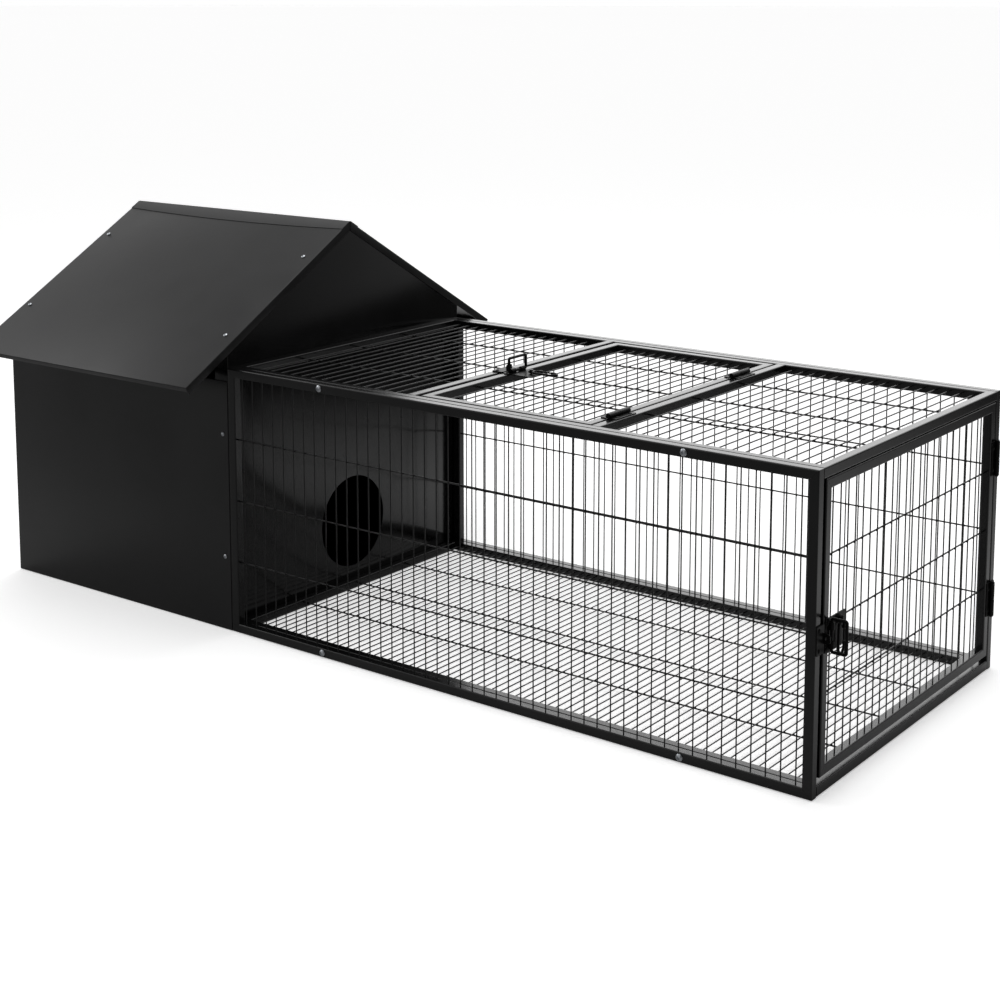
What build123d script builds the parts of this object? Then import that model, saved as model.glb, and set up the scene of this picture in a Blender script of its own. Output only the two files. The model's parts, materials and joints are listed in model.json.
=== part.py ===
from build123d import *
from math import atan, cos, sin, sqrt, tan
import os

# Wire rabbit cage: a mesh run of welded square tube with a sheet-metal house on its left end.
# Millimetres, +Z up, X along the length (house at -X, hinged end door at +X), front at -Y.
# The origin is the middle of the footprint, on the floor.

# --- run: tubes and mesh ---------------------------------------------------------------------
run_length = 1080.0
run_height = 450.0
depth = 610.0
tube = 15.0
tube_wall = 1.0
tube_radius = 2.0
weld_gap = 0.1
dense_wire_r = 1.0
cross_wire_r = 1.25
wire_gap = 0.05
side_pitch = 22.8
side_wires = 46
door_pitch = 23.0
door_wires = 23
floor_pitch = 14.9
floor_wires = 70
left_pitch = 22.6
left_wires = 15
right_pitch = 20.9
right_wires = 16
lid_pitch = 20.7
lid_wires = 13

# --- door in the +X end and lid in the roof mesh ---------------------------------------------
latch_gap = 8.0
hinge_gap = 3.0
door_bottom_gap = 9.0
door_top_gap = 1.5
lid_x0 = 385.0
lid_x1 = 701.0
lid_y0 = 33.0
lid_y1 = 575.0

# --- sheet-metal house -----------------------------------------------------------------------
sheet = 1.0
house_length = 560.0
panel_height = 428.0
panel_flange = 12.0
panel_gap = 2.0
wall_flange = 30.0
left_wall_inset = 14.0
doorway_r = 82.5
doorway_z = 120.0
ridge_height = 664.7
eave_height = 433.0
eave_overhang = 94.0
roof_flange = 14.0
eave_lip = 9.0
ridge_gap = 1.0
cap_thickness = 0.8
cap_end_width = 24.0
cap_mid_width = 32.0

# --- fasteners -------------------------------------------------------------------------------
clamp_inset = 204.0
clamp_r = 3.0
screw_r = 1.6
rivet_r = 1.6
hole_clearance = 0.05
roof_screw_x = (17.0, 523.0)
roof_screw_drop = (108.7, 328.2)
cap_screw_drop = 10.0
panel_screw_z = (127.0, 337.0)
panel_screw_inset = 14.0
joining_bolt_z = (60.0, 225.0, 390.0)

# --- hinges ----------------------------------------------------------------------------------
hinge_length = 54.0
leaf_width = 14.0
leaf_thickness = 1.5
barrel_r = 4.0
pin_r = 2.0
running_clearance = 0.05
door_hinge_z = (118.0, 345.0)
lid_hinge_y = (103.0, 458.0)

# --- latches: fixed keeper, latch plate, swinging bail and hanging snap hook -----------------
door_latch_z = 219.0
lid_latch_y = 263.0
plate_length = 58.0
plate_width = 48.0
plate_thickness = 1.5
bail_wire_r = 2.25
bail_offset = 38.0
bail_axis_height = 4.5
bail_reach = 22.0
bail_span = 46.0
ear_r = 3.9
hook_wire_r = 1.9
hook_height = 4.8
hook_offset = 66.0
gate_r = 1.4
gate_pivot = (14.0, 8.0)
gate_end = 32.6
keeper_thickness = 2.0
lug_width = 14.0
lug_height = 11.5
lug_hole_r = 2.7
lug_hole_z = 6.6
ear_start = 8.0
ear_length = 10.0
post_r = 2.0
post_head_r = 3.6

# --- derived positions -----------------------------------------------------------------------
latch_reach = bail_axis_height + bail_reach + bail_wire_r
x_house = -(house_length + run_length + latch_reach) / 2
x_joint = x_house + house_length
x_end = x_joint + run_length
y_front = -depth / 2
y_back = depth / 2
half = tube / 2
opening_x = run_length - 2 * tube
opening_z = run_height - 2 * tube
inner_depth = depth - 2 * tube
mesh_depth = inner_depth - 2 * tube
door_width = depth - 2 * tube - latch_gap - hinge_gap
door_height = run_height - 2 * tube - door_bottom_gap - door_top_gap
door_y0 = y_front + tube + latch_gap
lid_width = lid_x1 - lid_x0
lid_depth = lid_y1 - lid_y0
left_rail_x = lid_x0 - latch_gap - half
right_rail_x = lid_x1 + hinge_gap + half
left_wall_x = x_house + left_wall_inset
roof_x0 = left_wall_x - sheet
roof_length = x_joint + sheet - roof_x0
pitch = atan((ridge_height - eave_height) / (depth / 2 + eave_overhang))
slope_length = (depth / 2 + eave_overhang) / cos(pitch)

side_planes = [
    Plane((x_joint, y_front + half, 0), x_dir=(1, 0, 0), z_dir=(0, -1, 0)),
    Plane((x_joint, y_back - half, 0), x_dir=(1, 0, 0), z_dir=(0, -1, 0)),
]
floor_plane = Plane((x_joint, y_front + tube, half), x_dir=(1, 0, 0), z_dir=(0, 0, 1))
top_plane = Plane((x_joint, y_front + tube, run_height - half), x_dir=(1, 0, 0), z_dir=(0, 0, 1))
door_plane = Plane((x_end - half, door_y0, tube + door_bottom_gap), x_dir=(0, 1, 0), z_dir=(1, 0, 0))
lid_plane = Plane((x_joint + lid_x0, y_front + lid_y0, run_height - half), x_dir=(1, 0, 0), z_dir=(0, 0, 1))
front_slope = Plane((roof_x0, 0, ridge_height), x_dir=(1, 0, 0), z_dir=(0, -sin(pitch), cos(pitch)))
back_slope = Plane(
    (roof_x0 + roof_length, 0, ridge_height), x_dir=(-1, 0, 0), z_dir=(0, sin(pitch), cos(pitch))
)
door_hinge_planes = [
    Plane((x_end, door_y0 + door_width + hinge_gap / 2, z), x_dir=(0, 1, 0), z_dir=(1, 0, 0))
    for z in door_hinge_z
]
lid_hinge_planes = [
    Plane((x_joint + lid_x1 + hinge_gap / 2, y_front + y, run_height), x_dir=(1, 0, 0), z_dir=(0, 0, 1))
    for y in lid_hinge_y
]
door_latch_plane = Plane((x_end, y_front, door_latch_z), x_dir=(0, 1, 0), z_dir=(1, 0, 0))
lid_latch_plane = Plane(
    (x_joint + left_rail_x - half, y_front + lid_latch_y, run_height), x_dir=(1, 0, 0), z_dir=(0, 0, 1)
)
plate_rivets = [(31.0, -17.0), (31.0, 17.0)]
keeper_rivets = [(7.5, -14.0), (7.5, 14.0)]
leaf_rivets = [(-9.0, -17.0), (-9.0, 17.0), (9.0, -17.0), (9.0, 17.0)]
fixed_leaf_rivets = [(u, v) for u, v in leaf_rivets if u > 0]
moving_leaf_rivets = [(u, v) for u, v in leaf_rivets if u < 0]


def save(part, name):
    part.label = name
    export_step(part, f"parts/{name}.step")


def placed(part, planes):
    """Copies of one sub-part, one on each plane."""
    with BuildPart() as copies:
        with Locations(*[plane.location for plane in planes]):
            add(part)
    return copies.part


def drilled(part, planes, points, radius, deep):
    """The part with round holes sunk from each plane's origin side at the given points."""
    with BuildPart() as work:
        add(part)
        for plane in planes:
            with BuildSketch(plane):
                with Locations(*points):
                    Circle(radius)
            extrude(amount=-deep, mode=Mode.SUBTRACT)
    return work.part


# --- tube and wire sub-parts -----------------------------------------------------------------
def straight_tube(length):
    """Hollow square tube along +X, centred on Y and Z."""
    with BuildPart() as bar:
        with BuildSketch(Plane.YZ):
            RectangleRounded(tube, tube, tube_radius)
            RectangleRounded(
                tube - 2 * tube_wall, tube - 2 * tube_wall, tube_radius - tube_wall, mode=Mode.SUBTRACT
            )
        extrude(amount=length)
    return bar.part


def mitred_tube(length):
    """Tube with both ends cut at 45 degrees; its long side faces -Y."""
    near_cut = Plane((half + weld_gap, 0, 0), x_dir=(0, 0, 1), z_dir=(1, -1, 0))
    far_cut = Plane((length - half - weld_gap, 0, 0), x_dir=(0, 0, 1), z_dir=(-1, -1, 0))
    with BuildPart() as bar:
        add(straight_tube(length))
        split(bisect_by=near_cut, keep=Keep.TOP)
        split(bisect_by=far_cut, keep=Keep.TOP)
    return bar.part


def tube_frame(width, height):
    """Four mitred tubes welded into a rectangle in the XY plane, with a corner at the origin."""
    with BuildPart() as frame:
        with Locations(Location((0, half, 0)), Location((width, height - half, 0), (0, 0, 180))):
            add(mitred_tube(width))
        with Locations(Location((width - half, 0, 0), (0, 0, 90)), Location((half, height, 0), (0, 0, -90))):
            add(mitred_tube(height))
    return frame.part


def wire_grid(span_x, span_y, count, spacing, cross_lines):
    """Welded mesh in the XY plane: close wires along Y and a few stiffening wires along X behind them."""
    with BuildPart() as grid:
        with BuildSketch(Plane.XZ):
            with Locations((span_x / 2, dense_wire_r)):
                with GridLocations(spacing, 1, count, 1):
                    Circle(dense_wire_r)
        extrude(amount=-span_y)
        with BuildSketch(Plane.YZ):
            with Locations(*[(line, -cross_wire_r - wire_gap) for line in cross_lines]):
                Circle(cross_wire_r)
        extrude(amount=span_x)
    return grid.part


def even_lines(span, count):
    return [span * (index + 1) / (count + 1) for index in range(count)]


def inside(plane, x_shift, y_shift):
    """The plane moved along its own X and Y, to the corner of an opening."""
    return Plane(plane.location * Location((x_shift, y_shift, 0)))


# --- fasteners -------------------------------------------------------------------------------
def domed_screw(head_r, head_h, shank_r, shank_length):
    """Screw on the Z axis, its domed head above Z = 0 and its shank below."""
    rim = head_h * 0.3
    dome_radius = (head_r**2 + (head_h - rim) ** 2) / (2 * (head_h - rim))
    shoulder = head_h - dome_radius + sqrt(dome_radius**2 - head_r**2 / 4)
    with BuildPart() as screw:
        with BuildSketch(Plane.XZ):
            with BuildLine():
                Line((0, -shank_length), (shank_r * 0.4, -shank_length))
                Line((shank_r * 0.4, -shank_length), (shank_r, -shank_length + shank_r))
                Line((shank_r, -shank_length + shank_r), (shank_r, 0))
                Line((shank_r, 0), (head_r, 0))
                Line((head_r, 0), (head_r, rim))
                ThreePointArc((head_r, rim), (head_r / 2, shoulder), (0, head_h))
                Line((0, head_h), (0, -shank_length))
            make_face()
        revolve(axis=Axis.Z)
    return screw.part


def screws_on(plane, points, screw):
    """The same screw at several points of one plane."""
    with BuildPart() as group:
        with Locations(*[plane.location * Location((u, v, 0)) for u, v in points]):
            add(screw)
    return group.part


os.makedirs("parts", exist_ok=True)

# --- run: welded frames ----------------------------------------------------------------------
clamp_x = (clamp_inset, run_length - clamp_inset)
clamp_points = [(x, z) for x in clamp_x for z in (half, run_height - half)]
outer_faces = [
    Plane((x_joint, y_front, 0), x_dir=(1, 0, 0), z_dir=(0, -1, 0)),
    Plane((x_joint + run_length, y_back, 0), x_dir=(-1, 0, 0), z_dir=(0, 1, 0)),
]
left_end_faces = [
    Plane((x_joint, y, 0), x_dir=(0, -1, 0), z_dir=(-1, 0, 0)) for y in (y_front + half, y_back - half)
]
joining_points = [(0, z) for z in joining_bolt_z]
clamp_hole_r = clamp_r + hole_clearance
screw_hole_r = screw_r + hole_clearance
rivet_hole_r = rivet_r + hole_clearance

side_tubes = tube_frame(run_length, run_height)
side_names = ("front_panel", "back_panel")
hardware = (
    [(door_latch_plane, keeper_rivets)],
    [(plane, fixed_leaf_rivets) for plane in door_hinge_planes],
)
side_settings = zip(side_names, side_planes, outer_faces, left_end_faces, hardware)
for name, plane, face, end_face, seats in side_settings:
    side = drilled(placed(side_tubes, [plane]), [face], clamp_points, clamp_hole_r, tube)
    side = drilled(side, [end_face], joining_points, clamp_hole_r, half)
    for seat, points in seats:
        side = drilled(side, [seat], points, rivet_hole_r, half)
    save(side, f"{name}_tubes")
    mesh = wire_grid(opening_x, opening_z, side_wires, side_pitch, even_lines(opening_z, 3))
    save(placed(mesh, [inside(plane, tube, tube)]), f"{name}_wires")

deck = tube_frame(run_length, inner_depth)
inner_faces = [
    Plane((x_joint, y_front + tube, 0), x_dir=(1, 0, 0), z_dir=(0, -1, 0)),
    Plane((x_joint + run_length, y_back - tube, 0), x_dir=(-1, 0, 0), z_dir=(0, 1, 0)),
]
floor_frame = drilled(placed(deck, [floor_plane]), inner_faces, clamp_points, clamp_hole_r, half)
save(floor_frame, "floor_frame_tubes")

with BuildPart() as top_frame:
    with Locations(top_plane.location):
        add(deck)
    with Locations(
        *[
            top_plane.location * Location((x, tube + weld_gap, 0), (0, 0, 90))
            for x in (left_rail_x, right_rail_x)
        ]
    ):
        add(straight_tube(mesh_depth - 2 * weld_gap))
top_tubes = drilled(top_frame.part, inner_faces, clamp_points, clamp_hole_r, half)
top_tubes = drilled(top_tubes, [lid_latch_plane], keeper_rivets, rivet_hole_r, half)
top_tubes = drilled(top_tubes, lid_hinge_planes, fixed_leaf_rivets, rivet_hole_r, half)
save(top_tubes, "top_frame_tubes")

deck_lines = even_lines(mesh_depth, 3)
floor_mesh = wire_grid(opening_x, mesh_depth, floor_wires, floor_pitch, deck_lines)
left_mesh = wire_grid(left_rail_x - half - tube, mesh_depth, left_wires, left_pitch, deck_lines)
right_span = run_length - tube - right_rail_x - half
right_mesh = wire_grid(right_span, mesh_depth, right_wires, right_pitch, deck_lines)
save(placed(floor_mesh, [inside(floor_plane, tube, tube)]), "floor_wires")
save(placed(left_mesh, [inside(top_plane, tube, tube)]), "top_left_wires")
save(placed(right_mesh, [inside(top_plane, right_rail_x + half, tube)]), "top_right_wires")

clamp_screw = domed_screw(5.5, 3.4, clamp_r, tube + 6)
with BuildPart() as clamp_screws:
    for face in outer_faces:
        add(screws_on(face, clamp_points, clamp_screw))
save(clamp_screws.part, "clamp_screws")

# --- end door and lid ------------------------------------------------------------------------
door_face_rivets = [(door_latch_plane, plate_rivets)] + [(p, moving_leaf_rivets) for p in door_hinge_planes]
lid_face_rivets = [(lid_latch_plane, plate_rivets)] + [(p, moving_leaf_rivets) for p in lid_hinge_planes]

door_tubes = placed(tube_frame(door_width, door_height), [door_plane])
for plane, points in door_face_rivets:
    door_tubes = drilled(door_tubes, [plane], points, rivet_hole_r, half)
save(door_tubes, "door_tubes")

lid_tubes = placed(tube_frame(lid_width, lid_depth), [lid_plane])
for plane, points in lid_face_rivets:
    lid_tubes = drilled(lid_tubes, [plane], points, rivet_hole_r, half)
save(lid_tubes, "lid_tubes")

door_lines = even_lines(door_height - 2 * tube, 3)
door_mesh = wire_grid(door_width - 2 * tube, door_height - 2 * tube, door_wires, door_pitch, door_lines)
lid_lines = [line + 2 * tube - lid_y0 - tube for line in deck_lines]
lid_mesh = wire_grid(lid_width - 2 * tube, lid_depth - 2 * tube, lid_wires, lid_pitch, lid_lines)
save(placed(door_mesh, [inside(door_plane, tube, tube)]), "door_wires")
save(placed(lid_mesh, [inside(lid_plane, tube, tube)]), "lid_wires")

# --- hinges: barrel along local Y above the gap, fixed leaf towards +X, moving leaf towards -X ---
knuckle = hinge_length / 2 - 0.5


def hinge_leaf(side):
    """Leaf with its half of the barrel; side is +1 for the fixed leaf, -1 for the moving one."""
    with BuildPart() as leaf:
        with BuildSketch():
            with Locations((side * leaf_width / 2, 0)):
                RectangleRounded(leaf_width, hinge_length, 2)
            with Locations((0, side * hinge_length / 4)):
                Rectangle(2 * barrel_r + 1.2, hinge_length / 2 + 4, mode=Mode.SUBTRACT)
            with Locations((side * barrel_r / 2, -side * (hinge_length / 2 - knuckle / 2))):
                Rectangle(barrel_r, knuckle)
            with Locations(*[(side * 9.0, v) for v in (-17.0, 17.0)]):
                Circle(rivet_hole_r, mode=Mode.SUBTRACT)
        extrude(amount=leaf_thickness)
        with BuildSketch(Plane.XZ.offset(side * 0.5)):
            with Locations((0, barrel_r)):
                Circle(barrel_r)
        extrude(amount=side * knuckle)
        with BuildSketch(Plane.XZ):
            with Locations((0, barrel_r)):
                Circle(pin_r + running_clearance)
        extrude(amount=hinge_length, both=True, mode=Mode.SUBTRACT)
    return leaf.part


def hinge_pin():
    with BuildPart() as pin:
        with BuildSketch(Plane.XZ):
            with Locations((0, barrel_r)):
                Circle(pin_r)
        extrude(amount=hinge_length / 2 + 0.4, both=True)
        for end in (-1, 1):
            with BuildSketch(Plane.XZ.offset(end * (hinge_length / 2 + 0.4))):
                with Locations((0, barrel_r)):
                    Circle(pin_r + 0.9)
            extrude(amount=end * 1.2)
    return pin.part


leaf_rivet = domed_screw(2.8, 1.5, rivet_r, 5.0)
leaf_top = Location((0, 0, leaf_thickness))
for name, planes in (("door", door_hinge_planes), ("lid", lid_hinge_planes)):
    leaf_faces = [Plane(plane.location * leaf_top) for plane in planes]
    save(placed(hinge_leaf(1), planes), f"{name}_hinge_fixed_leaves")
    save(placed(hinge_leaf(-1), planes), f"{name}_hinge_moving_leaves")
    save(placed(hinge_pin(), planes), f"{name}_hinge_pins")
    fixed_rivets = screws_on(Plane.XY, fixed_leaf_rivets, leaf_rivet)
    moving_rivets = screws_on(Plane.XY, moving_leaf_rivets, leaf_rivet)
    save(placed(fixed_rivets, leaf_faces), f"{name}_hinge_fixed_rivets")
    save(placed(moving_rivets, leaf_faces), f"{name}_hinge_moving_rivets")


# --- latches in local axes: X from the fixed tube's outer edge towards the moving frame, Z outwards ---
def latch_keeper():
    """Fixed plate with a drilled lug that stands inside the closed bail."""
    with BuildPart() as keeper:
        with BuildSketch():
            with Locations((11.5, 0)):
                RectangleRounded(21, 40, 2)
            with Locations(*keeper_rivets):
                Circle(rivet_hole_r, mode=Mode.SUBTRACT)
        extrude(amount=keeper_thickness)
        with BuildSketch(Plane.YZ.offset(20)):
            with Locations((0, lug_height / 2)):
                RectangleRounded(lug_width, lug_height, 4)
            with Locations((0, 2)):
                Rectangle(lug_width, 4)
            with Locations((0, lug_hole_z)):
                Circle(lug_hole_r, mode=Mode.SUBTRACT)
        extrude(amount=keeper_thickness)
    return keeper.part


def latch_plate(hook_v):
    """Plate riveted to the moving frame, with two rolled ears for the bail and a post for the hook."""
    with BuildPart() as plate:
        with BuildSketch():
            with Locations((26 + plate_length / 2, 0)):
                RectangleRounded(plate_length, plate_width, 4)
            with Locations(*plate_rivets):
                Circle(rivet_hole_r, mode=Mode.SUBTRACT)
        extrude(amount=plate_thickness)
        for side in (-1, 1):
            with BuildSketch(Plane.XZ.offset(-side * ear_start)):
                with Locations((bail_offset, bail_axis_height)):
                    Circle(ear_r)
                with Locations((bail_offset, bail_axis_height / 2)):
                    Rectangle(2 * ear_r, bail_axis_height)
                with Locations((bail_offset, bail_axis_height)):
                    Circle(bail_wire_r + running_clearance, mode=Mode.SUBTRACT)
            extrude(amount=-side * ear_length)
        with Locations((hook_offset, hook_v, 0)):
            Cylinder(post_r, hook_height + 2.4, align=(Align.CENTER, Align.CENTER, Align.MIN))
        with Locations((hook_offset, hook_v, hook_height + 2.2)):
            Cylinder(post_head_r, 1.2, align=(Align.CENTER, Align.CENTER, Align.MIN))
    return plate.part


def latch_bail():
    """Closed rectangular wire loop standing upright in the ears."""
    with BuildSketch(Plane.YZ.offset(bail_offset)) as loop:
        with Locations((0, bail_axis_height + bail_reach / 2)):
            RectangleRounded(bail_span, bail_reach, 3.2)
    path = loop.sketch.faces()[0].outer_wire()
    with BuildPart() as bail:
        with BuildSketch(Plane(path @ 0, z_dir=path % 0)):
            Circle(bail_wire_r)
        sweep(path=path)
    return bail.part


def snap_hook():
    """Bent-wire hook along +X with its eye at the origin and a forked seat for the gate."""
    eye_side = [(7, 7), (4.6, 0), (7, -7), (14, -8)]
    nose_side = [(43, -8), (52, 0), (43, 8), (34, 8)]
    with BuildPart() as hook:
        with BuildLine() as spine:
            FilletPolyline(gate_pivot, *eye_side, *nose_side, radius=2.6)
        with BuildSketch(Plane(gate_pivot, z_dir=spine.wires()[0] % 0)):
            Circle(hook_wire_r)
        sweep(path=spine.wires()[0])
        Cylinder(4.9, 2 * hook_wire_r - 0.6)
        Cylinder(post_r + 2 * running_clearance, 2 * hook_wire_r, mode=Mode.SUBTRACT)
        with Locations(gate_pivot):
            Cylinder(2.7, 2 * hook_wire_r)
            Cylinder(2.9, 2.1, mode=Mode.SUBTRACT)
            Cylinder(1.0, 2 * hook_wire_r + 0.8)
    return hook.part


def snap_gate():
    """Straight gate closing the hook between its pivot and the nose."""
    x, y = gate_pivot
    with BuildPart() as gate:
        with BuildSketch():
            with Locations((x, y)):
                Circle(2.4)
            with Locations((x + 2.6, y)):
                Rectangle(5.2, 2.6)
            with Locations((x, y)):
                Circle(1.0 + running_clearance, mode=Mode.SUBTRACT)
        extrude(amount=0.95, both=True)
        with BuildSketch(Plane.YZ.offset(x + 3.4)):
            with Locations((y, 0)):
                Circle(gate_r)
        extrude(amount=gate_end - x - 3.4)
    return gate.part


keeper_rivet = domed_screw(3.0, 1.6, rivet_r, 5.0)
latch_settings = (
    ("door", door_latch_plane, 16.0, Location((hook_offset, 16.0, hook_height), (0, 0, -90))),
    ("lid", lid_latch_plane, 0.0, Location((hook_offset, 0.0, hook_height))),
)
for name, plane, hook_v, hook_place in latch_settings:
    keeper_top = Plane(plane.location * Location((0, 0, keeper_thickness)))
    plate_top = Plane(plane.location * Location((0, 0, plate_thickness)))
    hook_plane = Plane(plane.location * hook_place)
    save(placed(latch_keeper(), [plane]), f"{name}_latch_keeper")
    save(placed(screws_on(Plane.XY, keeper_rivets, keeper_rivet), [keeper_top]), f"{name}_keeper_rivets")
    save(placed(latch_plate(hook_v), [plane]), f"{name}_latch_plate")
    save(placed(screws_on(Plane.XY, plate_rivets, keeper_rivet), [plate_top]), f"{name}_latch_rivets")
    save(placed(latch_bail(), [plane]), f"{name}_latch_bail")
    save(placed(snap_hook(), [hook_plane]), f"{name}_snap_hook")
    save(placed(snap_gate(), [hook_plane]), f"{name}_snap_gate")

# --- house: end walls as shallow pans, front and back panels as trays, floor sheet -----------
wall_peak = ridge_height - sheet / cos(pitch)
wall_half_width = depth / 2 - sheet
wall_shoulder = wall_peak - wall_half_width * tan(pitch)
roof_points = [(x, -drop) for x in roof_screw_x for drop in (*roof_screw_drop, cap_screw_drop)]
mirror_points = [(roof_length - x, y) for x, y in roof_points]
slopes = [(front_slope, roof_points), (back_slope, mirror_points)]
corner = (Align.MIN, Align.MIN, Align.MIN)
panel_points = [(house_length - panel_screw_inset, z) for z in panel_screw_z]
panel_faces = [
    (Plane((x_house, y_front, 0), x_dir=(1, 0, 0), z_dir=(0, -1, 0)), panel_points),
    (
        Plane((x_joint, y_back, 0), x_dir=(-1, 0, 0), z_dir=(0, 1, 0)),
        [(house_length - x, z) for x, z in panel_points],
    ),
]


def end_wall():
    """Gable-shaped pan: sheet at X = 0, flanges folded all round towards -X."""
    with BuildPart() as wall:
        with BuildSketch(Plane.YZ):
            Polygon(
                (-wall_half_width, sheet),
                (wall_half_width, sheet),
                (wall_half_width, wall_shoulder),
                (0, wall_peak),
                (-wall_half_width, wall_shoulder),
                align=None,
            )
        extrude(amount=-wall_flange)
        offset(amount=-sheet, openings=wall.faces().sort_by(Axis.X)[0])
    return wall.part


def with_roof_holes(part):
    for slope, points in slopes:
        above = Plane(slope.location * Location((0, 0, 3)))
        part = drilled(part, [above], points, screw_hole_r, 8)
    return part


right_wall = with_roof_holes(placed(end_wall(), [Plane((x_joint, 0, 0))]))
for face, points in panel_faces:
    right_wall = drilled(right_wall, [face], points, screw_hole_r, 4)
for end_face in left_end_faces:
    right_wall = drilled(right_wall, [end_face], joining_points, clamp_hole_r, -tube)
with BuildPart() as gable_wall:
    add(right_wall)
    with BuildSketch(Plane.YZ.offset(x_joint)):
        with Locations((0, doorway_z)):
            Circle(doorway_r)
    extrude(amount=-2 * sheet, mode=Mode.SUBTRACT)
save(gable_wall.part, "house_gable_wall")

left_wall_plane = Plane((left_wall_x, 0, 0), x_dir=(-1, 0, 0), z_dir=(0, 0, 1))
save(with_roof_holes(placed(end_wall(), [left_wall_plane])), "house_end_wall")

with BuildPart() as front_tray:
    with Locations((x_house, y_front, 0)):
        Box(house_length - panel_gap, panel_flange, panel_height, align=corner)
    back_face = front_tray.faces().sort_by(Axis.Y)[-1]
    right_face = front_tray.faces().sort_by(Axis.X)[-1]
    offset(amount=-sheet, openings=[back_face, right_face])
    for x in (left_wall_x, x_joint - wall_flange):
        with Locations((x, y_front + sheet, 2 * sheet)):
            Box(wall_flange, panel_flange, panel_height, align=corner, mode=Mode.SUBTRACT)
front_house = drilled(front_tray.part, [panel_faces[0][0]], panel_points, screw_hole_r, 4)
save(front_house, "house_front_panel")
with BuildPart() as back_house:
    add(front_house)
    mirror(about=Plane.XZ, mode=Mode.REPLACE)
save(back_house.part, "house_back_panel")

with BuildPart() as house_floor:
    with Locations((left_wall_x + 1.5 * sheet, 0, 2 * sheet)):
        Box(
            x_joint - left_wall_x - 3 * sheet,
            depth - 5 * sheet,
            sheet,
            align=(Align.MIN, Align.CENTER, Align.MIN),
        )
save(house_floor.part, "house_floor_sheet")


# --- roof: two sheets with folded gable flanges and eave lips, arched ridge cap --------------
def roof_sheet():
    """Roof half in slope axes: X along the ridge, Y up the slope, outer face at Z = 0."""
    flange_top = -roof_flange * tan(pitch) - ridge_gap
    with BuildPart() as roof:
        with BuildSketch(Plane.YZ):
            Polygon(
                (-slope_length, 0),
                (-ridge_gap, 0),
                (-ridge_gap, -sheet),
                (-slope_length, -sheet),
                align=None,
            )
        extrude(amount=roof_length)
        for x in (0, roof_length - sheet):
            with BuildSketch(Plane.YZ.offset(x)):
                Polygon(
                    (-slope_length, -sheet / 2),
                    (-ridge_gap, -sheet / 2),
                    (flange_top, -roof_flange),
                    (-slope_length, -roof_flange),
                    align=None,
                )
            extrude(amount=sheet)
        with Locations((0, -slope_length, -eave_lip)):
            Box(roof_length, sheet, eave_lip, align=corner)
    return roof.part


save(with_roof_holes(placed(roof_sheet(), [front_slope])), "roof_front_sheet")
save(with_roof_holes(placed(roof_sheet(), [back_slope])), "roof_back_sheet")

with BuildPart() as ridge_cap:
    with BuildSketch(Plane.YZ.offset(roof_x0)):
        with BuildLine():
            run_out = cap_mid_width * cos(pitch)
            fall = cap_mid_width * sin(pitch)
            lift = cap_thickness / cos(pitch)
            Polyline(
                (-run_out, ridge_height - fall),
                (0, ridge_height),
                (run_out, ridge_height - fall),
                (run_out + cap_thickness * sin(pitch), ridge_height - fall + cap_thickness * cos(pitch)),
                (0, ridge_height + lift),
                (-run_out - cap_thickness * sin(pitch), ridge_height - fall + cap_thickness * cos(pitch)),
                close=True,
            )
        make_face()
    extrude(amount=roof_length)
    for slope in (front_slope, back_slope):
        with BuildSketch(Plane(slope.location * Location((0, 0, -2)))):
            with BuildLine():
                ThreePointArc(
                    (-1, -cap_end_width),
                    (roof_length / 2, -cap_mid_width),
                    (roof_length + 1, -cap_end_width),
                )
                Polyline(
                    (roof_length + 1, -cap_end_width),
                    (roof_length + 1, -cap_mid_width - 6),
                    (-1, -cap_mid_width - 6),
                    (-1, -cap_end_width),
                )
            make_face()
        extrude(amount=5, mode=Mode.SUBTRACT)
save(with_roof_holes(ridge_cap.part), "ridge_cap")

# --- house screws and joining bolts ----------------------------------------------------------
sheet_screw = domed_screw(3.6, 2.2, screw_r, 9.0)
with BuildPart() as roof_screws:
    for slope, points in slopes:
        add(screws_on(slope, [point for point in points if point[1] < -2 * cap_mid_width], sheet_screw))
save(roof_screws.part, "roof_screws")

with BuildPart() as cap_screws:
    for slope, points in slopes:
        cap_top = Plane(slope.location * Location((0, 0, cap_thickness)))
        add(screws_on(cap_top, [point for point in points if point[1] > -2 * cap_mid_width], sheet_screw))
save(cap_screws.part, "ridge_cap_screws")

with BuildPart() as panel_screws:
    for face, points in panel_faces:
        add(screws_on(face, points, sheet_screw))
save(panel_screws.part, "house_panel_screws")

with BuildPart() as joining_bolts:
    for end_face in left_end_faces:
        inner_side = Plane(end_face.location * Location((0, 0, sheet)))
        add(screws_on(inner_side, joining_points, domed_screw(5.0, 3.2, clamp_r, 12.0)))
save(joining_bolts.part, "joining_bolts")
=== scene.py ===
"""Wire rabbit cage: a welded mesh run with a hinged door and lid, and a folded sheet-metal house."""

import json
import logging
import math
from dataclasses import dataclass, field
from enum import Enum
from typing import Callable, Iterable, Optional, Sequence

import bpy
from mathutils import Matrix, Vector

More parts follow.
